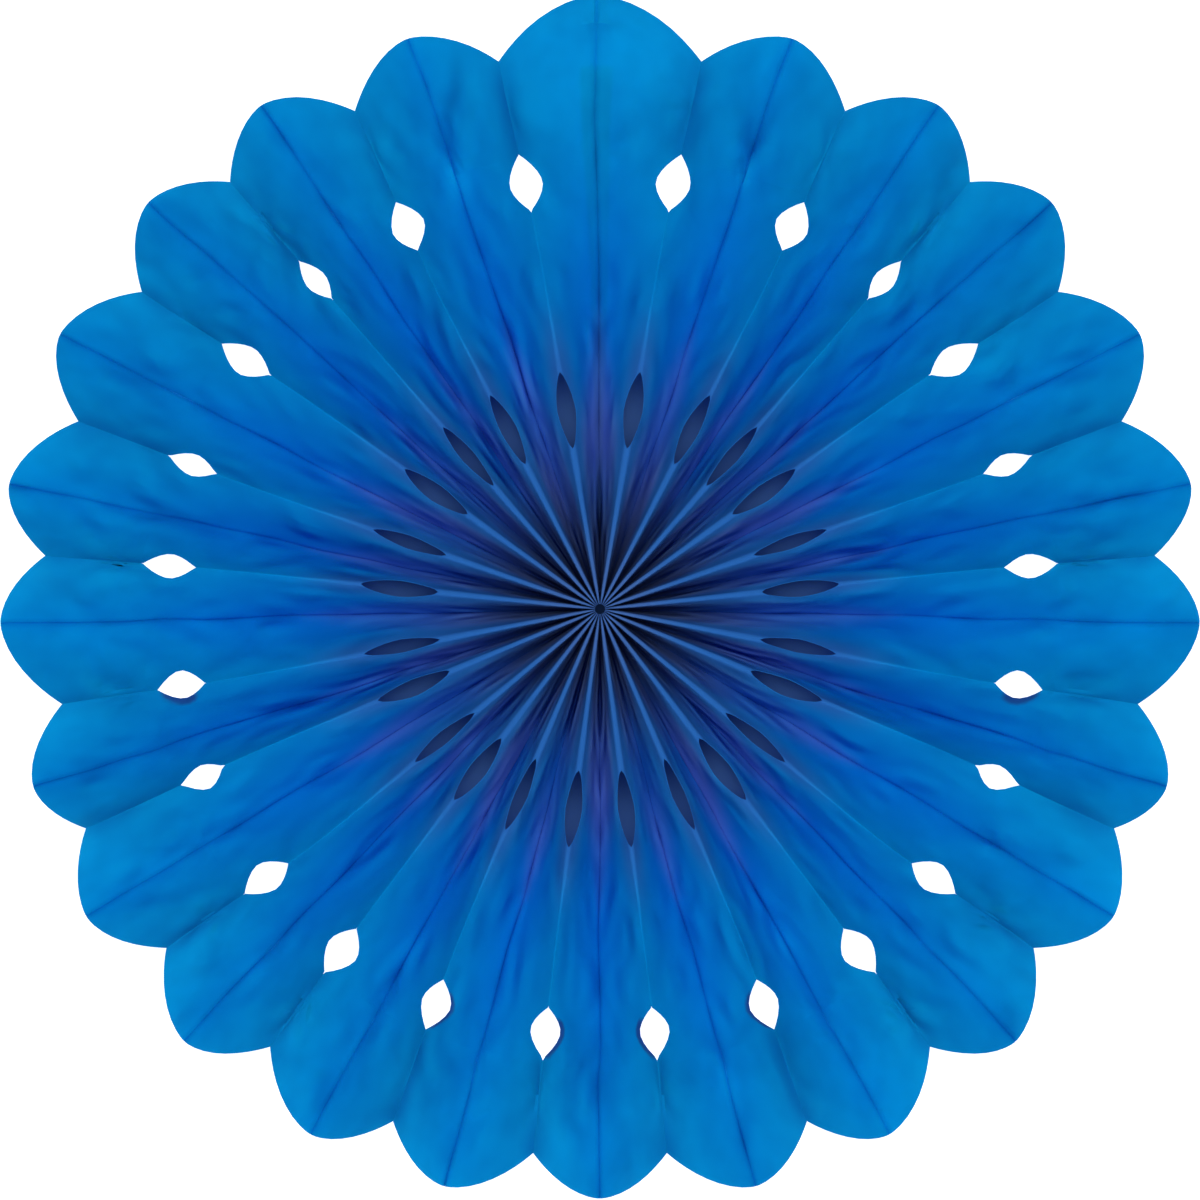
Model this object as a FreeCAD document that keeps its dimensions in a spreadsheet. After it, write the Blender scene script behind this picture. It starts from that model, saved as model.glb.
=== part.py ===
import FreeCAD, Part
import math
import os
import Sketcher

# Paper fan medallion: a strip of thin paper, folded in 24 pleats, die-cut while folded and
# opened to a full circle. The disc stands in the XZ plane as it hangs on a wall: +Z is up,
# the front faces -Y, and the origin is the middle of the hub. The ridges are the folds that
# come forward, one under each notch of the rim. The creases are the folds at the back, one in
# the middle of each petal. The top petal is wider: the strip's two ends meet in its crease.

doc = FreeCAD.newDocument("PaperFanMedallion")

# Driving dimensions in millimetres and degrees
sizes = {
    # the opened disc, and how far its notches reach in from the petals' tips
    "outerDiameter": 406.0,
    "notchDepth": 15.5,
    "petalCount": 24,
    "hubRadius": 2.4,
    # the paper and its folds
    "panelWidth": 36.0,
    "paperThickness": 0.2,
    "ridgeWidth": 1.8,
    "creaseWidth": 0.9,
    "pinchRadius": 12.0,
    # the rounded ends of the panels: how far each bulges past the line from tip to notch
    "rimBulge": 3.7,
    "seamRimBulge": 5.4,
    # the lens-shaped holes on the ridges, each as deep as it was cut across a flat panel: the
    # outer ones are set in from the notches, the inner ones out from the middle of the hub
    "outerHoleInset": 41.7,
    "outerHoleLength": 18.5,
    "outerHoleDepth": 9.2,
    "innerHoleRadius": 68.3,
    "innerHoleLength": 26.0,
    "innerHoleDepth": 12.0,
    # the tie through the hub
    "threadRingRadius": 6.0,
    "threadDiameter": 0.6,
    "threadClearance": 0.1,
    # the seam at the top, and how deep its flatter pleat still is at the rim
    "seamRimDepth": 9.5,
    "seamGap": 0.15,
    "tapeWidth": 12.0,
    "tapeThickness": 0.1,
    "tapeGlue": 0.02,
}
sheet = doc.addObject("Spreadsheet::Sheet", "Sizes")
for row, (alias, value) in enumerate(sizes.items(), start=1):
    sheet.set(f"A{row}", alias)
    sheet.set(f"B{row}", str(value))
    sheet.setAlias(f"B{row}", alias)
doc.recompute()

# The paper is drawn this far past the notches and the tips before the rim is cut
rim_spare = 3.0
# Each panel twists from upright at the hub to sloping at the rim. As paper does, it bends
# along straight lines instead of stretching: it is drawn in this many flat-faced spans along
# the fold, and strips across.
panel_spans = 5
panel_strips = 2
# The rounded cuts are drawn as this many straight snips
cut_snips = 4

# Radii of the notches and of the middles of the holes
notch_radius = "(Sizes.outerDiameter / 2 - Sizes.notchDepth)"
hole_radii = {
    "outerHole": f"({notch_radius} - Sizes.outerHoleInset)",
    "innerHole": "Sizes.innerHoleRadius",
}

# Angles from the middle of a petal to its ridges. The top petal's panels are as wide as the
# rest but open further, down to their depth at the rim. The equal petals share what it leaves.
seam_reach = "sqrt(Sizes.panelWidth^2 - Sizes.seamRimDepth^2)"
seam_half = f"(asin({seam_reach} / ({notch_radius} + {rim_spare})) / 1 deg)"
equal_half = f"((180 - {seam_half}) / (Sizes.petalCount - 1))"


def value_of(expression):
    """The number that an expression over the sheet gives."""
    return float(sheet.evalExpression(expression))


def origin_item(body, role):
    """A plane or axis of a body's own origin."""
    return next(item for item in body.Origin.OriginFeatures if item.Role == role)


def new_sketch(body, name, role):
    """A sketch on one of a body's own origin planes."""
    sketch = body.newObject("Sketcher::SketchObject", name)
    sketch.AttachmentSupport = (origin_item(body, role), [""])
    sketch.MapMode = "FlatFace"
    return sketch


def size_constraint(sketch, name, kind, geometry, expression):
    """A dimension of a sketch that is bound to the sheet."""
    index = sketch.addConstraint(Sketcher.Constraint(kind, *geometry, value_of(expression)))
    sketch.renameConstraint(index, name)
    sketch.setExpression(f".Constraints.{name}", expression)


def closed_outline(sketch, points):
    """Lines through the points and back to the first. Returns the first line's number."""
    first = sketch.GeometryCount
    count = len(points)
    for index, point in enumerate(points):
        sketch.addGeometry(Part.LineSegment(point, points[(index + 1) % count]), False)
    for index in range(count):
        following = first + (index + 1) % count
        sketch.addConstraint(Sketcher.Constraint("Coincident", first + index, 2, following, 1))
    return first


def sketch_vector(corner, side=1):
    """The point that a pair of expressions gives, or its mirror image with side -1."""
    across, up = corner
    return FreeCAD.Vector(side * value_of(across), value_of(up), 0.0)


def draw_mirrored(sketch, name, corners, tip=None, apart=False):
    """Draws (across, up) corners on the right and their mirror images on the left.

    They make one outline, with a tip on the axis if one is given, or two that stand apart."""
    right = [sketch_vector(corner) for corner in corners]
    left = [sketch_vector(corner, side=-1) for corner in corners]
    if apart:
        right_edges = closed_outline(sketch, right)
        left_edges = closed_outline(sketch, left)
        pairs = [(right_edges + index, left_edges + index) for index in range(len(corners))]
    else:
        peak = [] if tip is None else [sketch_vector(("0", tip))]
        first = closed_outline(sketch, peak + right + left[::-1])
        start = first + len(peak)
        end = start + 2 * len(corners) - 1
        pairs = [(start + index, end - index) for index in range(len(corners))]
        if tip is not None:
            sketch.addConstraint(Sketcher.Constraint("PointOnObject", first, 1, -2))
            size_constraint(sketch, f"{name}TipUp", "DistanceY", (-1, 1, first, 1), tip)
    for index, ((across, up), (right_edge, left_edge)) in enumerate(zip(corners, pairs)):
        size_constraint(sketch, f"{name}Across{index}", "DistanceX", (-1, 1, right_edge, 1), across)
        size_constraint(sketch, f"{name}Up{index}", "DistanceY", (-1, 1, right_edge, 1), up)
        sketch.addConstraint(Sketcher.Constraint("Symmetric", right_edge, 1, left_edge, 1, -2))


def fold_depth(radius, half_angle):
    """Depth from ridge to crease of a pleat whose panels keep their width as it opens."""
    half = radius * math.sin(math.radians(half_angle))
    return math.sqrt(value_of("Sizes.panelWidth") ** 2 - half**2)


def pleat_line(radius, half_angle, offset):
    """Points (across, depth) of a pleat's section, from its crease to the middle of its ridge.

    offset is the distance from the paper's front face. At the hub the panels are pressed
    together, and the folds there take only what room the paper leaves."""
    thick = value_of("Sizes.paperThickness")
    half = radius * math.sin(math.radians(half_angle))
    room = (half + thick) / 2
    ridge = min(value_of("Sizes.ridgeWidth / 2"), room)
    crease = min(value_of("Sizes.creaseWidth / 2"), room)
    front = -fold_depth(radius, value_of(equal_half)) / 2
    depth = fold_depth(radius, half_angle) - thick
    lean = math.tan(math.atan2(depth, half - ridge - crease) / 2)
    crease_end = (crease + (offset - thick) * lean, front + depth + offset)
    ridge_end = (half - ridge + offset * lean, front + offset)
    line = []
    for step in range(panel_strips + 1):
        share = step / panel_strips
        line.append(tuple(a + (b - a) * share for a, b in zip(crease_end, ridge_end)))
    return line + [(half, front + offset)]


def pleat_ring(radius, height, half_angle, offsets):
    """The section of a whole pleat as a ring of points: along its front and back by its back."""
    ring = []
    for offset, direction in zip(offsets, (1, -1)):
        right = pleat_line(radius, half_angle, offset)
        left = [(-across, depth) for across, depth in reversed(right)]
        ring += (left + right)[::direction]
    return [FreeCAD.Vector(across, depth, height) for across, depth in ring]


def flat_faces(corners):
    """A face through four corners, or two triangles where they aren't in one plane."""
    first, second, third, fourth = corners
    normal = (second - first).cross(third - first)
    if abs(normal.normalize().dot(fourth - first)) < 1e-6:
        return [Part.Face(Part.makePolygon([*corners, first]))]
    if abs(first.x) > abs(second.x):
        corners = [second, third, fourth, first]
        first, second, third, fourth = corners
    return [
        Part.Face(Part.makePolygon([first, second, third, first])),
        Part.Face(Part.makePolygon([first, third, fourth, first])),
    ]


def folded_blank(name, half_angle, stations, offsets):
    """One pleat of a folded sheet, between two offsets from the paper's front face."""
    rings = [pleat_ring(radius, height, half_angle, offsets) for radius, height in stations]
    faces = [Part.Face(Part.makePolygon([*ring, ring[0]])) for ring in (rings[0], rings[-1])]
    for lower, upper in zip(rings, rings[1:]):
        for index in range(len(lower)):
            following = (index + 1) % len(lower)
            faces += flat_faces([lower[index], lower[following], upper[following], upper[index]])
    solid = Part.makeSolid(Part.makeShell(faces))
    if solid.Volume < 0:
        solid.reverse()
    blank = doc.addObject("Part::Feature", name)
    blank.Shape = solid
    return blank


def fold_stations(half_angle):
    """(radius along the ridge, height up the petal) of each section beyond the pressed hub."""
    pinch = value_of("Sizes.pinchRadius")
    length = value_of(notch_radius) + rim_spare - pinch
    radii = [pinch + length * step / panel_spans for step in range(panel_spans + 1)]
    return [(radius, radius * math.cos(math.radians(half_angle))) for radius in radii]


def paper_stations(half_angle):
    """All the sections of a petal: from the hub, and past the tip with its sides parallel."""
    hub = value_of("Sizes.hubRadius")
    spans = fold_stations(half_angle)
    beyond = (spans[-1][0], value_of("Sizes.outerDiameter / 2") + rim_spare)
    return [(hub, hub * math.cos(math.radians(half_angle))), *spans, beyond]


def polar_point(radius, angle):
    """Expressions for a point at a radius and at an angle from the petal's middle."""
    return f"({radius} * sin({angle}))", f"({radius} * cos({angle}))"


def rounded_cut(start, end, bulge):
    """Expressions for the corners of a rounded cut from start to end, bulging to its left."""
    (start_across, start_up), (end_across, end_up) = start, end
    run = f"({end_across} - {start_across})"
    rise = f"({end_up} - {start_up})"
    length = f"sqrt({run}^2 + {rise}^2)"
    corners = [start]
    for snip in range(1, cut_snips):
        share = snip / cut_snips
        out = f"({4 * share * (1 - share)} * {bulge} / {length})"
        across = f"{start_across} + {run} * {share} - {rise} * {out}"
        up = f"{start_up} + {rise} * {share} + {run} * {out}"
        corners.append((across, up))
    return corners + [end]


def cut_through(body, sketch, name):
    """A pocket through all the paper, both ways. It has to take some of it away."""
    before = body.Shape.Volume
    pocket = body.newObject("PartDesign::Pocket", name)
    pocket.Profile = sketch
    pocket.Type = "ThroughAll"
    pocket.SideType = "Symmetric"
    doc.recompute()
    if not pocket.Shape.Volume < before:
        raise RuntimeError(f"{name} cuts nothing")


def cut_rim(body, half_angle, bulge):
    """Rounds the petal: a cut from each notch to the tip, where the two meet at a blunt point."""
    sketch = new_sketch(body, f"{body.Name}RimOutline", "XZ_Plane")
    tip_up = "Sizes.outerDiameter / 2"
    notch = polar_point(notch_radius, half_angle)
    edge = rounded_cut(("0", f"({tip_up})"), notch, bulge)
    clear_across = f"{notch[0]} + 2 * {rim_spare}"
    clear = [(clear_across, notch[1]), (clear_across, f"{tip_up} + 2 * {rim_spare}")]
    draw_mirrored(sketch, "Rim", edge[1:] + clear, tip=tip_up)
    cut_through(body, sketch, f"{body.Name}RimCut")


def cut_holes(body, half_angle):
    """Cuts the lens-shaped holes on both ridges, each half as wide as its panel's slope shows it."""
    sketch = new_sketch(body, f"{body.Name}HoleOutlines", "XZ_Plane")
    for hole, middle in hole_radii.items():
        half_length = f"Sizes.{hole}Length / 2"
        seen_depth = f"(Sizes.{hole}Depth * {middle} * sin({half_angle}) / Sizes.panelWidth)"
        near = polar_point(f"({middle} - {half_length})", half_angle)
        far = polar_point(f"({middle} + {half_length})", half_angle)
        beyond_ridge = rounded_cut(far, near, seen_depth)[cut_snips // 2]
        outline = rounded_cut(near, far, seen_depth) + [beyond_ridge]
        draw_mirrored(sketch, hole, outline, apart=True)
    cut_through(body, sketch, f"{body.Name}HoleCut")


def pierce_panels(body):
    """Pierces the petal's two panels for the thread, halfway between front and back."""
    sketch = new_sketch(body, f"{body.Name}ThreadHole", "YZ_Plane")
    half_gap = "(Sizes.threadDiameter / 2 + Sizes.threadClearance)"
    corners = [(half_gap, f"Sizes.threadRingRadius {sign} {half_gap}") for sign in "-+"]
    draw_mirrored(sketch, "Hole", corners)
    cut_through(body, sketch, f"{body.Name}Pierced")


def folded_petal(name, half_angle, bulge):
    """One petal, from ridge to ridge, with its rim, its halves of four holes and its thread hole."""
    angle = value_of(half_angle)
    body = doc.addObject("PartDesign::Body", name)
    body.BaseFeature = folded_blank(
        f"{name}Blank", angle, paper_stations(angle), (0.0, value_of("Sizes.paperThickness"))
    )
    doc.recompute()
    cut_rim(body, half_angle, bulge)
    cut_holes(body, half_angle)
    pierce_panels(body)
    return body


def repeat_petal(body):
    """Repeats the equal petal round the disc, beginning beside the top one."""
    pattern = body.newObject("PartDesign::PolarPattern", f"{body.Name}Round")
    pattern.TransformMode = "Whole shape"
    pattern.Axis = (origin_item(body, "Y_Axis"), [""])
    pattern.Mode = "Spacing"
    pattern.setExpression("Offset", f"2 * {equal_half}")
    pattern.setExpression("Occurrences", "Sizes.petalCount - 1")
    body.Tip = pattern
    body.Placement = FreeCAD.Placement(
        FreeCAD.Vector(), FreeCAD.Rotation(FreeCAD.Vector(0, 1, 0), value_of(f"{seam_half} + {equal_half}"))
    )
    body.setExpression(".Placement.Rotation.Angle", f"{seam_half} + {equal_half}")
    doc.recompute()


def seam_slit():
    """The slit between the two ends of the strip, up the middle of the top petal."""
    slit = doc.addObject("Part::Box", "SeamSlit")
    slit.setExpression("Length", "Sizes.seamGap")
    slit.setExpression("Width", "2 * Sizes.panelWidth")
    slit.setExpression("Height", "Sizes.outerDiameter")
    slit.setExpression(".Placement.Base.x", "-Sizes.seamGap / 2")
    slit.setExpression(".Placement.Base.y", "-Sizes.panelWidth")
    return slit


def build_fan():
    """The whole folded strip: the equal petals, and the petal where its two ends meet."""
    equal_petals = folded_petal("EqualPetals", equal_half, "Sizes.rimBulge")
    repeat_petal(equal_petals)
    seam_petal = folded_petal("SeamPetal", seam_half, "Sizes.seamRimBulge")
    strip_ends = doc.addObject("Part::Cut", "StripEnds")
    strip_ends.Base = seam_petal
    strip_ends.Tool = seam_slit()
    fan = doc.addObject("Part::Fuse", "Fan")
    fan.Base = equal_petals
    fan.Tool = strip_ends
    fan.Label = "pleated_fan"
    return fan


def build_thread():
    """The tie: a ring of thread laced through all the panels, halfway between front and back."""
    section = doc.addObject("Part::RegularPolygon", "ThreadSection")
    section.Polygon = 6
    section.setExpression("Circumradius", "Sizes.threadDiameter / 2")
    section.setExpression(".Placement.Base.x", "Sizes.threadRingRadius")
    thread = doc.addObject("Part::Revolution", "Thread")
    thread.Source = section
    thread.Axis = FreeCAD.Vector(0, 1, 0)
    thread.Angle = 360
    thread.Solid = True
    thread.Label = "centre_thread"
    return thread


def build_tape():
    """The tape that joins the strip's two ends, on the back of the top petal's crease.

    It is cut from a folded layer behind the paper, by a wedge that widens as the pleat opens."""
    angle = value_of(seam_half)
    near = value_of("Sizes.paperThickness + Sizes.tapeGlue")
    far = near + value_of("Sizes.tapeThickness")
    layer = folded_blank("TapeLayer", angle, fold_stations(angle), (near, far))
    reach = doc.addObject("Part::Wedge", "TapeReach")
    spread = f"(Sizes.tapeWidth / 2 / Sizes.panelWidth * tan({seam_half}))"
    start = f"(Sizes.pinchRadius * cos({seam_half}))"
    end = f"({notch_radius} * cos({seam_half}))"
    for side, height in (("X", start), ("X2", end)):
        reach.setExpression(f"{side}min", f"-Sizes.creaseWidth / 2 - {spread} * {height}")
        reach.setExpression(f"{side}max", f"Sizes.creaseWidth / 2 + {spread} * {height}")
    for side in ("Z", "Z2"):
        reach.setExpression(f"{side}min", "-Sizes.panelWidth")
        reach.setExpression(f"{side}max", "Sizes.panelWidth")
    reach.setExpression("Ymin", start)
    reach.setExpression("Ymax", end)
    reach.Placement = FreeCAD.Placement(FreeCAD.Vector(), FreeCAD.Rotation(FreeCAD.Vector(1, 0, 0), 90))
    tape = doc.addObject("Part::MultiCommon", "Tape")
    tape.Shapes = [layer, reach]
    tape.Label = "seam_tape"
    return tape


def check_document():
    for item in doc.Objects:
        if "Invalid" in item.State or "Error" in item.State:
            raise RuntimeError(f"{item.Name} did not build: {item.State}")


def write_parts(pieces):
    os.makedirs("parts", exist_ok=True)
    for piece in pieces:
        shape = piece.Shape
        if shape.isNull() or not shape.isValid() or len(shape.Solids) != 1:
            raise RuntimeError(f"{piece.Label} is not one valid solid")
        shape.exportStep(os.path.join("parts", f"{piece.Label}.step"))
        box = shape.BoundBox
        print(f"{piece.Label}: {box.XLength:.1f} x {box.YLength:.1f} x {box.ZLength:.1f} mm,",
              f"{shape.Volume:.0f} mm3, {len(shape.Faces)} faces")


pieces = [build_fan(), build_thread(), build_tape()]
doc.recompute()
check_document()
write_parts(pieces)
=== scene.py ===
import math
import bpy
import bmesh
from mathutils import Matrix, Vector, noise


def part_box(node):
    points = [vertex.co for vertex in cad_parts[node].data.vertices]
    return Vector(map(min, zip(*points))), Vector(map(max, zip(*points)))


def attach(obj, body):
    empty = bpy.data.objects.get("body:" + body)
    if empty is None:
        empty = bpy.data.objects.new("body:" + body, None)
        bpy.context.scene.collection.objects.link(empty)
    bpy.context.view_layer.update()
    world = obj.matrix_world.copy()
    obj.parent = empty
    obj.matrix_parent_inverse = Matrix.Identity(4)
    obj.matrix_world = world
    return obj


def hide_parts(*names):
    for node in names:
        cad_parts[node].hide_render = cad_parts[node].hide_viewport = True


# A tissue paper fan opened to a full disc. The front faces -Y, +Z is up, the hub is the origin.

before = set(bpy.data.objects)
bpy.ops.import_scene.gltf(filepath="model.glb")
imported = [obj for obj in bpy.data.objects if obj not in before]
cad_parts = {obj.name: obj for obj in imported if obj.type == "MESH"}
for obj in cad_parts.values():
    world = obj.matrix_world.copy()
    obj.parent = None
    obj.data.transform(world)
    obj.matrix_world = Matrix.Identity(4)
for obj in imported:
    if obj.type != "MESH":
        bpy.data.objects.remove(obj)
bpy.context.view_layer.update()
fanLow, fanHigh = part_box("pleated_fan")
discWidth = fanHigh[0] - fanLow[0]
panelWidth = fanHigh[1] - fanLow[1]      # the pleats stand upright at the hub, so the depth is the panel
mm = 0.001

# What the photograph gives, in its pixels (1200 across) and in degrees clockwise from the top.
# It shows the same folds on both sides, so one side is listed.
photo = {
    "discPixels": 1199,
    "hubPixel": (600, 609),
    "framePixels": 1200,
    "ridgeAngles": (10.5, 26.2, 40.9, 55.3, 70.2, 84.5, 100.0, 113.1, 128.0, 143.0, 158.0, 173.0),
    "ridgeAnglesInside": (9.6, 27.2, 40.8, 54.4, 70.7, 84.0, 100.8, 112.4, 129.6, 142.6, 156.8, 172.5),
    "creaseAngles": (0.0, 18.5, 34.0, 48.0, 63.0, 78.0, 91.5, 107.5, 121.0, 136.0, 151.0, 165.0, 180.0),
    "notchPixels": (557, 555, 565, 557, 554, 557, 546, 559, 550, 548, 552, 548),
    "tipPixels": (610, 602, 607, 608, 606, 604, 600, 594, 599, 600, 600, 598, 590),
    "outerHolePixels": 430.6,
    "innerHolePixels": 201.6,
    # each outer hole: how wide it opens and how long it is in millimetres, and how far out it lies in pixels
    "outerHoleWidths": (9.4, 11.4, 7.8, 9.9, 7.6, 9.2, 9.2, 9.4, 10.6, 11.2, 11.2, 10.3),
    "outerHoleLengths": (19.4, 17.6, 16.6, 19.2, 16.7, 17.7, 16.2, 15.2, 17.9, 18.2, 17.6, 17.2),
    "outerHoleShifts": (2.3, -1.5, 4.5, 2.8, 1.5, 2.6, -4.7, 0.6, -1.7, -1.7, -1.8, -3.4),
    # outer holes whose lower panel turns a shaded edge to the front, and how wide that shows
    "holeCrescents": {6: 4.6 * mm, 10: 2.4 * mm, 11: 3.2 * mm},
    "crescentPanel": 1,
    # how far the seam's crease strays sideways: (distance from the hub, pixels to the right)
    "seamWobble": ((0, 0.0), (180, -1.0), (345, -1.0), (430, -3.0), (488, -5.4), (609, -3.0)),
}
pixel = discWidth / photo["discPixels"]
panelCount = 2 * len(photo["ridgeAngles"])     # on one side, from the top seam to the bottom crease

camera = {
    "distance": 3.2,
    "sensor": 36.0,
}


# a distance from the hub that shows as so many pixels, at a depth behind the hub's middle
def seen(pixels, depth):
    return pixels * pixel * (1 + depth / camera["distance"])


def mix(a, b, share):
    return a + (b - a) * share


# 0 up to the start, 1 from where it is full, smooth between; it may start outside and be full inside
def ease(start, full, value):
    share = min(max((value - start) / (full - start), 0.0), 1.0)
    return share * share * (3.0 - 2.0 * share)


# reads a list of (place, amount) pairs, straight between them
def along(pairs, value):
    for (placeA, amountA), (placeB, amountB) in zip(pairs, pairs[1:]):
        if value <= placeB:
            return mix(amountA, amountB, (value - placeA) / (placeB - placeA))
    return pairs[-1][1]


# paper

paper = {
    "thickness": 0.12 * mm,
    "equalHalfAngle": 7.37,
    "seamHalfAngle": 10.5,
    "seamGap": 0.02 * mm,
    # rounded crest of a ridge, (distance from the hub, width): crisp inside, soft by the rim
    "crestWidths": ((0, 0.9 * mm), (20 * mm, 1.1 * mm), (50 * mm, 1.4 * mm), (80 * mm, 1.0 * mm),
                    (100 * mm, 0.2 * mm), (150 * mm, 0.05 * mm), (200 * mm, 0.05 * mm)),
    # how far the panels bow outwards near the hub, (distance from the hub, amount)
    "bow": ((0, 0.5), (30 * mm, 0.7), (50 * mm, 1.4), (68 * mm, 1.7), (85 * mm, 1.1), (115 * mm, 0),
            (250 * mm, 0)),
    "crestShare": 0.42,
    "crestBend": 0.9,
    "sharpAngle": 40,
    # lens-shaped holes across the ridges: length along the fold, depth across a flat panel
    "outerHole": {"length": 21.2 * mm, "depth": 9.2 * mm},
    "innerHole": {"length": 26 * mm, "depth": 4.8 * mm},
    # how far the inner holes open, as a share of that depth, and how much it varies
    "innerHoleShare": 0.9,
    "innerHoleSpread": 0.25,
    "holeRoundness": 1.7,
    # the pressed line of a crease: a narrow groove at the back of the pleat
    "grooveShare": 0.975,
    "grooveDepth": 0.9 * mm,
    "grooveFrom": (20 * mm, 60 * mm),
    # rows between the rim and the outer holes bend to the rim's shape
    "rimStart": 160 * mm,
    "rimRows": 10,
    "holeRows": 14,
    # places of the columns across a panel, from ridge to crease, and of the rows in millimetres
    "columns": (0, .01, .02, .032, .048, .075, .125, .21, .32, .45, .58, .71, .84, .93, .975, 1),
    "innerRows": (1.7, 3, 5, 8, 12, 17, 23, 30, 38, 46),
    "middleRows": (88, 96, 104, 112, 120, 128),
    # soft waves of the tissue, and finer wrinkles: size, depth, and where they start and are full
    "waveSize": 34 * mm,
    "waveDepth": 2.4 * mm,
    "waveFrom": (60 * mm, 130 * mm),
    "wrinkleSize": 14 * mm,
    "wrinkleDepth": 0.7 * mm,
    "wrinkleFrom": (70 * mm, 140 * mm),
    # how far a crease strays sideways
    "wobbleSize": 24 * mm,
    "wobble": 0.9 * mm,
    "wobbleFrom": (20 * mm, 90 * mm),
    # where the ridges turn from their inner to their outer angles
    "ridgeTurn": (110 * mm, 190 * mm),
    # the round of a petal's end: 2 is a parabola, less is more pointed
    "petalPower": 1.75,
    "seamPetalPower": 1.9,
    # a faint fold across every panel, just outside the outer holes
    "crossRadius": 160 * mm,
    "crossReach": 10 * mm,
    "crossDepth": 1.5 * mm,
    "crossVary": 1.2,
    "crossMiddle": 0.35,
    "crossAtRidge": 0.3,
    "crossKink": 1.4 * mm,
    # star-shaped wrinkles where that fold meets a crease, and on the ridge beyond each outer hole
    "creaseStar": {"radius": 161 * mm, "reach": 17 * mm, "depth": 2.6 * mm, "rays": 5},
    "ridgeStar": {"radius": 167 * mm, "reach": 14 * mm, "depth": 3.0 * mm, "rays": 7},
    # how far the stars stray along their fold, as a share, and how low the paper lies between the rays
    "starStray": 0.02,
    "starValley": 0.6,
}


def crossFold(radius):
    return max(1 - abs(radius - paper["crossRadius"]) / paper["crossReach"], 0.0)


def foldDepth(radius, halfAngle):
    across = radius * math.sin(math.radians(halfAngle))
    return math.sqrt(max(panelWidth ** 2 - across ** 2, 0.0))


# A fold's place at one radius. Even folds are creases, odd ones ridges, from the top seam down.
def foldPoint(index, radius, side):
    depth = foldDepth(radius, paper["equalHalfAngle"])
    wobble = 0.0
    if index % 2:
        inside = photo["ridgeAnglesInside"][index // 2]
        outside = photo["ridgeAngles"][index // 2]
        angle = mix(inside, outside, ease(*paper["ridgeTurn"], radius))
        y = -depth / 2
    else:
        angle = photo["creaseAngles"][index // 2]
        y = depth / 2
        if index == 0:
            y = foldDepth(radius, paper["seamHalfAngle"]) - depth / 2
            wobble = along(photo["seamWobble"], radius / pixel) * pixel + side * paper["seamGap"] / 2
            return Vector((wobble, y, radius))
        reach = ease(*paper["wobbleFrom"], radius)
        wobble = noise.noise(Vector((radius / paper["wobbleSize"], index * 3.7, 0.5)))
        wobble *= paper["wobble"] * reach
        wobble += paper["crossKink"] * noise.noise(Vector((index * 1.9, 0.2, 3.3))) * crossFold(radius)
        if index == panelCount:
            return Vector((wobble, y, -radius))
    turn = math.radians(angle)
    x = radius * math.sin(turn) + wobble * math.cos(turn)
    z = radius * math.cos(turn) - wobble * math.sin(turn)
    return Vector((side * x, y, z))


# the rounded end of a petal: share 0 at the notch, 1 at the tip
def rimRadius(ridge, crease, share):
    rimDepth = foldDepth(discWidth / 2, paper["equalHalfAngle"]) / 2
    notch = seen(photo["notchPixels"][ridge], -rimDepth)
    tip = seen(photo["tipPixels"][crease], rimDepth)
    power = paper["seamPetalPower"] if crease == 0 else paper["petalPower"]
    return mix(tip, notch, (1 - share) ** power)


def holeMiddle(hole):
    radius = photo[f"{hole}Pixels"] * pixel
    return seen(photo[f"{hole}Pixels"], -foldDepth(radius, paper["equalHalfAngle"]) / 2)


# how far the die cut back the panel from its ridge at this radius
def holeEdge(radius, ridge):
    widths = photo["outerHoleWidths"]
    outerShare = widths[ridge] * len(widths) / sum(widths)
    innerShare = paper["innerHoleShare"] + paper["innerHoleSpread"] * math.sin(ridge * 2.9)
    outerLength = photo["outerHoleLengths"][ridge] * mm
    outerShift = photo["outerHoleShifts"][ridge] * pixel
    own = {
        "outerHole": (outerShare, outerLength, outerShift),
        "innerHole": (innerShare, paper["innerHole"]["length"], 0.0),
    }
    for hole, (share, length, shift) in own.items():
        reach = abs(radius - holeMiddle(hole) - shift) / (length / 2)
        if reach < 1:
            return share * paper[hole]["depth"] * (1 - reach ** paper["holeRoundness"])
    return 0.0


# depth of the waves and wrinkles, the same on both sides of the disc as in the photograph
def tissueWave(x, z):
    place = Vector((abs(x), 0.0, z))
    radius = place.length
    wave = noise.noise(place / paper["waveSize"] + Vector((7.3, 1.1, 4.2)))
    wrinkle = abs(noise.noise(place / paper["wrinkleSize"] + Vector((2.9, 5.5, 8.1))))
    wave *= paper["waveDepth"] * ease(*paper["waveFrom"], radius)
    wrinkle *= paper["wrinkleDepth"] * ease(*paper["wrinkleFrom"], radius)
    return wave + wrinkle


# a few rays of crumpled paper round a place on a fold
def starWrinkle(point, fold, star, side):
    middle = foldPoint(fold, star["radius"] * (1 + paper["starStray"] * math.sin(fold * 2.7)), side)
    out = Vector((side * (point.x - middle.x), 0.0, point.z - middle.z))
    distance = out.length / star["reach"]
    if distance > 2:
        return 0.0
    turn = math.atan2(out.x, out.z) * star["rays"] / 2 + fold * 1.3
    strength = star["depth"] * (0.75 + 0.45 * math.sin(fold * 4.1))
    rays = abs(math.cos(turn)) - paper["starValley"]
    return strength * math.exp(-distance ** 2) * rays * min(distance * 4, 1)


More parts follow.
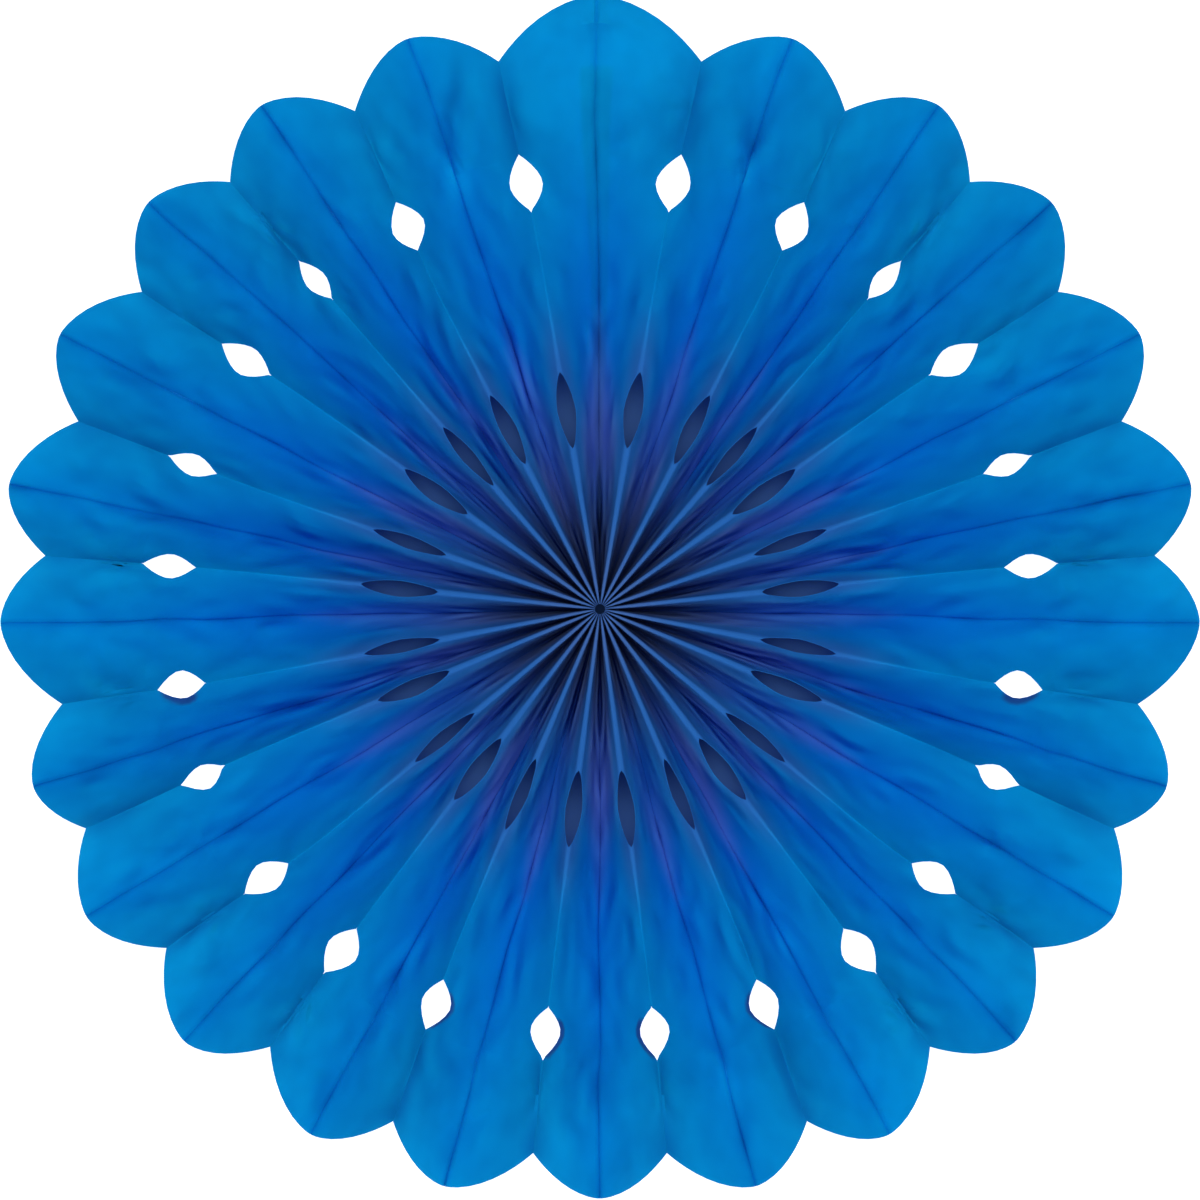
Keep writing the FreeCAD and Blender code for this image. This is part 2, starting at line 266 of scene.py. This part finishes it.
# A point of the folded sheet. Panel 0 is beside the top seam, share runs from ridge to crease.
def panelPoint(panel, share, radius, side):
    ridgeFold, creaseFold = (panel + 1, panel) if panel % 2 == 0 else (panel, panel + 1)
    ridge = foldPoint(ridgeFold, radius, side)
    crease = foldPoint(creaseFold, radius, side)
    across = Vector((crease.x - ridge.x, 0.0, crease.z - ridge.z))
    reach = across.length
    across /= reach
    half = min(along(paper["crestWidths"], radius) / 2, reach * paper["crestShare"])
    bend = half * paper["crestBend"]
    distance = share * panelWidth
    past = distance - half
    slope = (crease.y - ridge.y) / (panelWidth - half)
    narrow = (reach - half) / (panelWidth - half)
    if past < -bend:
        soft = 0.0
    elif past < bend:
        soft = (past + bend) ** 2 / (4 * bend)
    else:
        soft = past
    point = ridge + across * (distance - (1 - narrow) * soft)
    point += across * reach * along(paper["bow"], radius) * share * (1 - share) ** 3
    groove = max(share - paper["grooveShare"], 0.0) / (1 - paper["grooveShare"]) * paper["grooveDepth"]
    point.y = ridge.y + slope * soft + groove * ease(*paper["grooveFrom"], radius)
    cross = noise.noise(Vector((panel * 0.83, 4.1, 0.7))) * paper["crossVary"] + paper["crossMiddle"]
    point.y += paper["crossDepth"] * cross * crossFold(radius) * mix(paper["crossAtRidge"], 1, share)
    point.y += tissueWave(point.x, point.z)
    point.y += starWrinkle(point, creaseFold, paper["creaseStar"], side) if creaseFold else 0.0
    point.y += starWrinkle(point, ridgeFold, paper["ridgeStar"], side)
    return point


# radii of the rows up to where the rim's own rows begin
def sheetRows():
    rows = [row * mm for row in paper["innerRows"]]
    for hole in ("innerHole", "outerHole"):
        middle = holeMiddle(hole)
        steps = paper["holeRows"]
        half = paper[hole]["length"] / 2
        rows += [middle - half * math.cos(math.pi * step / steps) for step in range(steps + 1)]
        if hole == "innerHole":
            rows += [row * mm for row in paper["middleRows"]]
    return rows + [paper["rimStart"]]


# one panel between two folds as rows of corners, and its faces
def panelGrid(mesh, panel, side):
    ridge = panel // 2
    crease = (panel + 1) // 2
    start = paper["rimStart"]
    layers = {
        "kept": mesh.verts.layers.float["paintedLightKept"],
        "added": mesh.verts.layers.float_vector["paintedLightAdded"],
    }
    rows = []
    for radius in sheetRows():
        edge = holeEdge(radius, ridge) / panelWidth
        line = []
        for column in paper["columns"]:
            share = mix(edge, 1, column)
            line.append(mesh.verts.new(panelPoint(panel, share, radius, side)))
            paintLightAndShade(line[-1], layers, panel, share, radius)
        rows.append(line)
    for step in range(1, paper["rimRows"] + 1):
        line = []
        for column in paper["columns"]:
            radius = mix(start, rimRadius(ridge, crease, column), step / paper["rimRows"])
            line.append(mesh.verts.new(panelPoint(panel, column, radius, side)))
            paintLightAndShade(line[-1], layers, panel, column, radius)
        rows.append(line)
    flip = (panel % 2 == 0) != (side < 0)
    for lower, upper in zip(rows, rows[1:]):
        for index in range(len(lower) - 1):
            corners = [lower[index], lower[index + 1], upper[index + 1], upper[index]]
            mesh.faces.new(corners if flip else corners[::-1])


# Painted shade and painted bounce light on the tissue. A pair is the distance from the hub where a cast
# starts and where it is full.
paintedLightPlaces = {
    # painted bounce light: deeper blue inwards, where light bounces between the panels
    "bounceTint": (175 * mm, 85 * mm),
    # painted shade beside the ridges, between the outer holes and the notches
    "bandInside": (149 * mm, 158 * mm),
    "bandOutside": (193 * mm, 183 * mm),
    "bandWidth": 5.5 * mm,
    "bandPatchSize": 25 * mm,
    # painted shade colour down in the pleats near the hub
    # here the pair is a share of the panel, from ridge to crease
    "purpleShare": (0.02, 0.3),
    "purpleReach": 78 * mm,
    "purpleByCrease": 34 * mm,
    "purpleFade": 35 * mm,
    "purplePatchSize": 40 * mm,
    # painted shade, darker and greyer round the hub, where the pleats are deepest
    "hubShade": (55 * mm, 12 * mm),
    # painted shade on the crests
    "crestShade": (110 * mm, 80 * mm),
    "crestByHub": (35 * mm, 8 * mm),
    "crestWidth": 7.0 * mm,
    "crestMost": 0.95,
    "crestLessByHub": 0.35,
    "crescentInside": 5 * mm,
    "crescentSolid": 0.7,
}


# soft painted shade beside the ridge line, between the outer hole and the notch
def ridgeShadeCast(panel, share, radius):
    near = math.exp(-(share * panelWidth / paintedLightPlaces["bandWidth"]) ** 2)
    ring = ease(*paintedLightPlaces["bandInside"], radius) * ease(*paintedLightPlaces["bandOutside"], radius)
    patch = noise.noise(Vector((panel * 2.3, radius / paintedLightPlaces["bandPatchSize"], 2.2)))
    return near * ring * (0.6 + 0.8 * patch)


# painted shade colour: a violet tint down in the pleats near the hub
def pleatShadeCast(panel, share, radius):
    reach = paintedLightPlaces["purpleReach"] + paintedLightPlaces["purpleByCrease"] * share ** 2
    patch = noise.noise(Vector((panel * 1.7, radius / paintedLightPlaces["purplePatchSize"], 9.1)))
    inside = ease(reach, reach - paintedLightPlaces["purpleFade"], radius)
    return ease(*paintedLightPlaces["purpleShare"], share) * inside * (0.65 + 0.9 * patch)


# painted shade on a crest: its colour is darkened so that, where it faces the light, it is no brighter than
# the panels
def crestShadeCast(share, radius):
    near = math.exp(-(share * panelWidth / paintedLightPlaces["crestWidth"]) ** 2)
    most = paintedLightPlaces["crestMost"] - paintedLightPlaces["crestLessByHub"] * ease(*paintedLightPlaces["crestByHub"], radius)
    return near * most * ease(*paintedLightPlaces["crestShade"], radius)


# the shaded edge that a few outer holes show at their lower panel
def crescentCast(panel, share, radius):
    ridge = panel // 2
    width = photo["holeCrescents"].get(ridge, 0.0)
    edge = holeEdge(radius, ridge)
    if panel % 2 != photo["crescentPanel"] or not width or not edge:
        return 0.0
    if radius <= holeMiddle("outerHole") - paintedLightPlaces["crescentInside"]:
        return 0.0
    return ease(width, width * paintedLightPlaces["crescentSolid"], share * panelWidth - edge)


# The mesh carries how much of the paper's own colour is kept, and the colour that is added: the painted
# shade and painted bounce light.
def paintLightAndShade(corner, layers, panel, share, radius):
    paintedLight = {
        "bounceTint": ease(*paintedLightPlaces["bounceTint"], radius),
        "ridgeShade": ridgeShadeCast(panel, share, radius),
        "pleatShade": pleatShadeCast(panel, share, radius),
        "hubShade": ease(*paintedLightPlaces["hubShade"], radius),
        "crestShade": crestShadeCast(share, radius),
        "crescent": crescentCast(panel, share, radius),
    }
    kept = 1.0
    added = Vector((0, 0, 0))
    for name, amount in paintedLight.items():
        amount = min(max(amount, 0.0), 1.0)
        kept *= 1 - amount
        added = added.lerp(Vector(tissue[name][:3]), amount)
    corner[layers["kept"]] = kept
    corner[layers["added"]] = added


def newPiece(name, mesh, *materials):
    data = bpy.data.meshes.new(name)
    mesh.to_mesh(data)
    mesh.free()
    piece = bpy.data.objects.new(name, data)
    bpy.context.scene.collection.objects.link(piece)
    for material in materials:
        data.materials.append(material)
    return piece


# gives a sheet its thickness, then keeps its folds crisp and the rest smooth
def thicken(piece, thickness):
    solid = piece.modifiers.new("thickness", "SOLIDIFY")
    solid.thickness = thickness
    solid.offset = 0.0
    view = bpy.context.evaluated_depsgraph_get()
    thick = bpy.data.meshes.new_from_object(piece.evaluated_get(view))
    piece.modifiers.remove(solid)
    piece.data = thick
    thick.shade_smooth()
    thick.set_sharp_from_angle(angle=math.radians(paper["sharpAngle"]))


def makePaper(material):
    mesh = bmesh.new()
    mesh.verts.layers.float.new("paintedLightKept")
    mesh.verts.layers.float_vector.new("paintedLightAdded")
    for side in (1, -1):
        for panel in range(panelCount):
            panelGrid(mesh, panel, side)
    bmesh.ops.remove_doubles(mesh, verts=mesh.verts, dist=0.002 * mm)
    piece = newPiece("foldedTissue", mesh, material)
    thicken(piece, paper["thickness"])
    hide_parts("pleated_fan")
    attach(piece, "root")
    print("paper:", len(piece.data.polygons), "faces")
    return piece


# tape on the back of the top seam

tape = {
    "width": 12 * mm,
    "thickness": 0.08 * mm,
    "clear": 0.192 * mm,
    "start": 22 * mm,
    "end": 184 * mm,
    "rows": 60,
    "columns": 5,
}


def makeTape(material):
    mesh = bmesh.new()
    half = tape["width"] / 2 / panelWidth
    grid = []
    for row in range(tape["rows"] + 1):
        radius = mix(tape["start"], tape["end"], row / tape["rows"])
        line = []
        for side in (-1, 1):
            steps = range(tape["columns"] + 1)
            shares = [mix(1 - half, 1, step / tape["columns"]) for step in steps]
            for share in shares if side < 0 else shares[::-1]:
                point = panelPoint(0, share, radius, side)
                point.y += tape["clear"]
                line.append(mesh.verts.new(point))
        grid.append(line)
    for lower, upper in zip(grid, grid[1:]):
        for index in range(len(lower) - 1):
            mesh.faces.new((lower[index], lower[index + 1], upper[index + 1], upper[index]))
    piece = newPiece("seamTapeStrip", mesh, material)
    thicken(piece, tape["thickness"])
    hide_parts("seam_tape")
    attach(piece, "root")
    print("tape:", len(piece.data.polygons), "faces")
    return piece


# materials

tissue = {
    "deep": (0.0, 0.325, 0.70, 1),
    "plain": (0.0, 0.37, 0.76, 1),
    "light": (0.0, 0.42, 0.83, 1),
    # painted shade colour in the pleats
    "pleatShade": (0.20, 0.36, 0.88, 1),
    # painted bounce light between the panels
    "bounceTint": (0.0, 0.34, 0.88, 1),
    # painted shade round the hub
    "hubShade": (0.14, 0.21, 0.44, 1),
    # painted shade on the crests
    "crestShade": (0.03, 0.175, 0.58, 1),
    "crescent": (0.02, 0.11, 0.36, 1),
    # painted shade beside the ridges near the rim
    "ridgeShade": (0.0, 0.22, 0.58, 1),
    "through": (0.0, 0.32, 0.80, 1),
    # how much of the surface lets light through, as a share
    "share": 0.3,
    "roughness": 0.8,
    "specular": 0.05,
    "wrinkleScale": 55,
    "wrinkleHeight": 3.2 * mm,
}


def socketsOf(group, direction, *names):
    for name, kind in names:
        group.interface.new_socket(name=name, in_out=direction, socket_type=kind)


# cloudy pulp and short fibres of a thin sheet, for the paper, the tape and the thread
def fibreGroup():
    group = bpy.data.node_groups.new("fibres", "ShaderNodeTree")
    socketsOf(group, "INPUT", ("Cloud Scale", "NodeSocketFloat"), ("Fibre Scale", "NodeSocketFloat"))
    socketsOf(group, "OUTPUT", ("Cloud", "NodeSocketFloat"), ("Fibre", "NodeSocketFloat"))
    nodes, links = group.nodes, group.links
    given = nodes.new("NodeGroupInput")
    result = nodes.new("NodeGroupOutput")
    place = nodes.new("ShaderNodeTexCoord")
    cloud = nodes.new("ShaderNodeTexNoise")
    cloud.inputs["Detail"].default_value = 2
    cloud.inputs["Roughness"].default_value = 0.62
    fibre = nodes.new("ShaderNodeTexNoise")
    fibre.inputs["Detail"].default_value = 1
    for texture, scale in ((cloud, "Cloud Scale"), (fibre, "Fibre Scale")):
        links.new(place.outputs["Object"], texture.inputs["Vector"])
        links.new(given.outputs[scale], texture.inputs["Scale"])
    links.new(cloud.outputs["Fac"], result.inputs["Cloud"])
    links.new(fibre.outputs["Fac"], result.inputs["Fibre"])
    return group


def newMaterial(name):
    material = bpy.data.materials.new(name)
    material.use_nodes = True
    nodes = material.node_tree.nodes
    return material, nodes, material.node_tree.links, nodes["Principled BSDF"]


def placeFibres(nodes, cloudScale, fibreScale):
    fibres = nodes.new("ShaderNodeGroup")
    fibres.node_tree = fibreNodes
    fibres.inputs["Cloud Scale"].default_value = cloudScale
    fibres.inputs["Fibre Scale"].default_value = fibreScale
    return fibres


def colourRamp(nodes, links, factor, *stops):
    ramp = nodes.new("ShaderNodeValToRGB")
    stopsNow = ramp.color_ramp.elements
    while len(stopsNow) < len(stops):
        stopsNow.new(0.5)
    for stop, (place, colour) in zip(stopsNow, stops):
        stop.position = place
        stop.color = colour
    links.new(factor, ramp.inputs["Fac"])
    return ramp.outputs["Color"]


def addBump(nodes, links, shader, height, strength, distance):
    bump = nodes.new("ShaderNodeBump")
    bump.inputs["Strength"].default_value = strength
    bump.inputs["Distance"].default_value = distance
    links.new(height, bump.inputs["Height"])
    for one in shader:
        links.new(bump.outputs["Normal"], one.inputs["Normal"])


# the paper's own colour, with the painted shade and painted bounce light that the mesh carries
def withPaintedLight(nodes, links, colour):
    kept = nodes.new("ShaderNodeAttribute")
    kept.attribute_name = "paintedLightKept"
    added = nodes.new("ShaderNodeAttribute")
    added.attribute_name = "paintedLightAdded"
    blend = nodes.new("ShaderNodeVectorMath")
    blend.operation = "MULTIPLY_ADD"
    links.new(colour, blend.inputs[0])
    links.new(kept.outputs["Fac"], blend.inputs[1])
    links.new(added.outputs["Vector"], blend.inputs[2])
    return blend.outputs["Vector"]


# crumple lines of thin paper
def crumpleLines(nodes, links):
    place = nodes.new("ShaderNodeTexCoord")
    crumple = nodes.new("ShaderNodeTexNoise")
    crumple.noise_type = "RIDGED_MULTIFRACTAL"
    crumple.inputs["Scale"].default_value = tissue["wrinkleScale"]
    crumple.inputs["Detail"].default_value = 2
    crumple.inputs["Roughness"].default_value = 0.45
    links.new(place.outputs["Object"], crumple.inputs["Vector"])
    return crumple.outputs["Fac"]


def tissueMaterial():
    material, nodes, links, shader = newMaterial("blueTissue")
    fibres = placeFibres(nodes, 45, 900)
    colour = colourRamp(nodes, links, fibres.outputs["Cloud"],
                        (0.3, tissue["deep"]), (0.5, tissue["plain"]), (0.72, tissue["light"]))
    links.new(withPaintedLight(nodes, links, colour), shader.inputs["Base Color"])
    shader.inputs["Roughness"].default_value = tissue["roughness"]
    shader.inputs["Specular IOR Level"].default_value = tissue["specular"]
    through = nodes.new("ShaderNodeBsdfTranslucent")
    through.inputs["Color"].default_value = tissue["through"]
    addBump(nodes, links, (shader, through), crumpleLines(nodes, links), 1.0, tissue["wrinkleHeight"])
    both = nodes.new("ShaderNodeMixShader")
    both.inputs["Fac"].default_value = tissue["share"]
    links.new(shader.outputs["BSDF"], both.inputs[1])
    links.new(through.outputs["BSDF"], both.inputs[2])
    links.new(both.outputs["Shader"], nodes["Material Output"].inputs["Surface"])
    return material


# the tape and the thread

trim = {
    "tapeDark": (0.42, 0.45, 0.5, 1),
    "tapeLight": (0.52, 0.55, 0.6, 1),
    "tapeRoughness": 0.45,
    "tapeRelief": 0.05 * mm,
    "threadDark": (0.02, 0.07, 0.25, 1),
    "threadLight": (0.04, 0.12, 0.38, 1),
    "threadRoughness": 0.9,
    "threadRelief": 0.1 * mm,
}


def tapeMaterial():
    material, nodes, links, shader = newMaterial("paperTape")
    fibres = placeFibres(nodes, 120, 1500)
    colour = colourRamp(nodes, links, fibres.outputs["Cloud"],
                        (0.35, trim["tapeDark"]), (0.7, trim["tapeLight"]))
    links.new(colour, shader.inputs["Base Color"])
    shader.inputs["Roughness"].default_value = trim["tapeRoughness"]
    addBump(nodes, links, (shader,), fibres.outputs["Fibre"], 0.2, trim["tapeRelief"])
    return material


def threadMaterial():
    material, nodes, links, shader = newMaterial("cottonThread")
    fibres = placeFibres(nodes, 400, 4000)
    colour = colourRamp(nodes, links, fibres.outputs["Fibre"],
                        (0.3, trim["threadDark"]), (0.7, trim["threadLight"]))
    links.new(colour, shader.inputs["Base Color"])
    shader.inputs["Roughness"].default_value = trim["threadRoughness"]
    addBump(nodes, links, (shader,), fibres.outputs["Fibre"], 0.6, trim["threadRelief"])
    return material


def dressNode(node, material):
    for slot in node.material_slots:
        slot.material = material


# stage: a pale wall close behind the fan, painted dark behind the fan's middle as painted shadow, a pale
# floor below, soft light

stage = {
    "wallGap": 1.0 * mm,
    "wallHalf": 2.5,
    "floorDrop": 1.1,
    "glow": 1.0,
    "glowStart": 100 * mm,
    "glowFull": 116 * mm,
    "shaded": (0.030, 0.095, 0.25, 1),
    # the light that the wall throws on the back of the fan, behind its middle and around it
    "backMiddle": 0.4,
    "backAround": 0.9,
    "backStart": 60 * mm,
    "backFull": 150 * mm,
    "white": (0.6, 0.6, 0.6, 1),
    "floor": (0.85, 0.85, 0.85, 1),
    "worldFill": 0.12,
    # the key's level is the brightness that it gives to white paper facing it
    "keySize": 1.0,
    "keyLevel": 0.65,
    "keyPlace": (0.0, -3.0, 0.3),
}


def flatSquare(name, half, corners, material):
    mesh = bmesh.new()
    mesh.faces.new([mesh.verts.new(Vector(corner) * half) for corner in corners])
    piece = newPiece(name, mesh, material)
    return piece


# White and one-sided. It glows around the fan and behind its outer part, as a lit backdrop does; behind the
# fan's middle it has no glow for the camera and is painted dark blue, a painted shadow.
def wallMaterial():
    material, nodes, links, shader = newMaterial("paleWall")
    shader.inputs["Roughness"].default_value = 0.9
    place = nodes.new("ShaderNodeTexCoord")
    length = nodes.new("ShaderNodeVectorMath")
    length.operation = "LENGTH"
    links.new(place.outputs["Object"], length.inputs[0])
    ring = nodes.new("ShaderNodeMapRange")
    ring.inputs["From Min"].default_value = stage["glowStart"]
    ring.inputs["From Max"].default_value = stage["glowFull"]
    ring.inputs["To Max"].default_value = stage["glow"]
    links.new(length.outputs["Value"], ring.inputs["Value"])
    wide = nodes.new("ShaderNodeMapRange")
    wide.inputs["From Min"].default_value = stage["backStart"]
    wide.inputs["From Max"].default_value = stage["backFull"]
    wide.inputs["To Min"].default_value = stage["backMiddle"]
    wide.inputs["To Max"].default_value = stage["backAround"]
    links.new(length.outputs["Value"], wide.inputs["Value"])
    path = nodes.new("ShaderNodeLightPath")
    glow = nodes.new("ShaderNodeMix")
    links.new(path.outputs["Is Camera Ray"], glow.inputs["Factor"])
    links.new(wide.outputs["Result"], glow.inputs["A"])
    links.new(ring.outputs["Result"], glow.inputs["B"])
    shader.inputs["Emission Color"].default_value = (1, 1, 1, 1)
    links.new(glow.outputs["Result"], shader.inputs["Emission Strength"])
    paint = colourRamp(nodes, links, ring.outputs["Result"], (0.0, stage["shaded"]), (1.0, stage["white"]))
    links.new(paint, shader.inputs["Base Color"])
    back = nodes.new("ShaderNodeNewGeometry")
    clear = nodes.new("ShaderNodeBsdfTransparent")
    either = nodes.new("ShaderNodeMixShader")
    links.new(back.outputs["Backfacing"], either.inputs["Fac"])
    links.new(shader.outputs["BSDF"], either.inputs[1])
    links.new(clear.outputs["BSDF"], either.inputs[2])
    links.new(either.outputs["Shader"], nodes["Material Output"].inputs["Surface"])
    return material


def makeStage():
    upright = ((-1, 0, -1), (1, 0, -1), (1, 0, 1), (-1, 0, 1))
    wall = flatSquare("wall", stage["wallHalf"], upright, wallMaterial())
    wall.location.y = fanHigh[1] + stage["wallGap"]
    pale, nodes, links, shader = newMaterial("paleFloor")
    shader.inputs["Base Color"].default_value = stage["floor"]
    shader.inputs["Roughness"].default_value = 0.8
    level = ((-1, -1, 0), (1, -1, 0), (1, 1, 0), (-1, 1, 0))
    floor = flatSquare("floor", stage["wallHalf"], level, pale)
    floor.location.z = -stage["floorDrop"]


def makeWorld():
    world = bpy.data.worlds.new("studio")
    bpy.context.scene.world = world
    world.use_nodes = True
    nodes, links = world.node_tree.nodes, world.node_tree.links
    sky = nodes["Background"]
    sky.inputs["Color"].default_value = (1, 1, 1, 1)
    sky.inputs["Strength"].default_value = stage["worldFill"]
    shown = nodes.new("ShaderNodeBackground")     # the camera sees plain white
    shown.inputs["Color"].default_value = (1, 1, 1, 1)
    shown.inputs["Strength"].default_value = 1.0
    path = nodes.new("ShaderNodeLightPath")
    either = nodes.new("ShaderNodeMixShader")
    links.new(path.outputs["Is Camera Ray"], either.inputs["Fac"])
    links.new(sky.outputs["Background"], either.inputs[1])
    links.new(shown.outputs["Background"], either.inputs[2])
    links.new(either.outputs["Shader"], nodes["World Output"].inputs["Surface"])


def makeLights():
    light = bpy.data.lights.new("softKey", "AREA")
    light.shape = "DISK"
    light.size = stage["keySize"]
    light.energy = stage["keyLevel"] * (math.pi * Vector(stage["keyPlace"]).length) ** 2
    key = bpy.data.objects.new("softKey", light)
    bpy.context.scene.collection.objects.link(key)
    key.location = stage["keyPlace"]
    key.rotation_euler = (-Vector(stage["keyPlace"])).to_track_quat("-Z", "Y").to_euler()


def makeCamera():
    lens = bpy.data.cameras.new("camera")
    lens.sensor_width = camera["sensor"]
    lens.sensor_fit = "HORIZONTAL"
    frameWidth = photo["framePixels"] * pixel
    lens.lens = camera["sensor"] * camera["distance"] / frameWidth
    lens.clip_end = 50
    eye = bpy.data.objects.new("camera", lens)
    bpy.context.scene.collection.objects.link(eye)
    middle = photo["framePixels"] / 2
    aim = ((middle - photo["hubPixel"][0]) * pixel, (photo["hubPixel"][1] - middle) * pixel)
    eye.location = (aim[0], -camera["distance"], aim[1])
    eye.rotation_euler = (math.pi / 2, 0, 0)
    bpy.context.scene.camera = eye


fibreNodes = fibreGroup()
makePaper(tissueMaterial())
makeTape(tapeMaterial())
dressNode(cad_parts["centre_thread"], threadMaterial())
makeStage()
makeWorld()
makeLights()
makeCamera()
bpy.context.scene.view_settings.view_transform = "Standard"
bpy.context.scene.view_settings.look = "None"
print("stage, lights and camera ready")
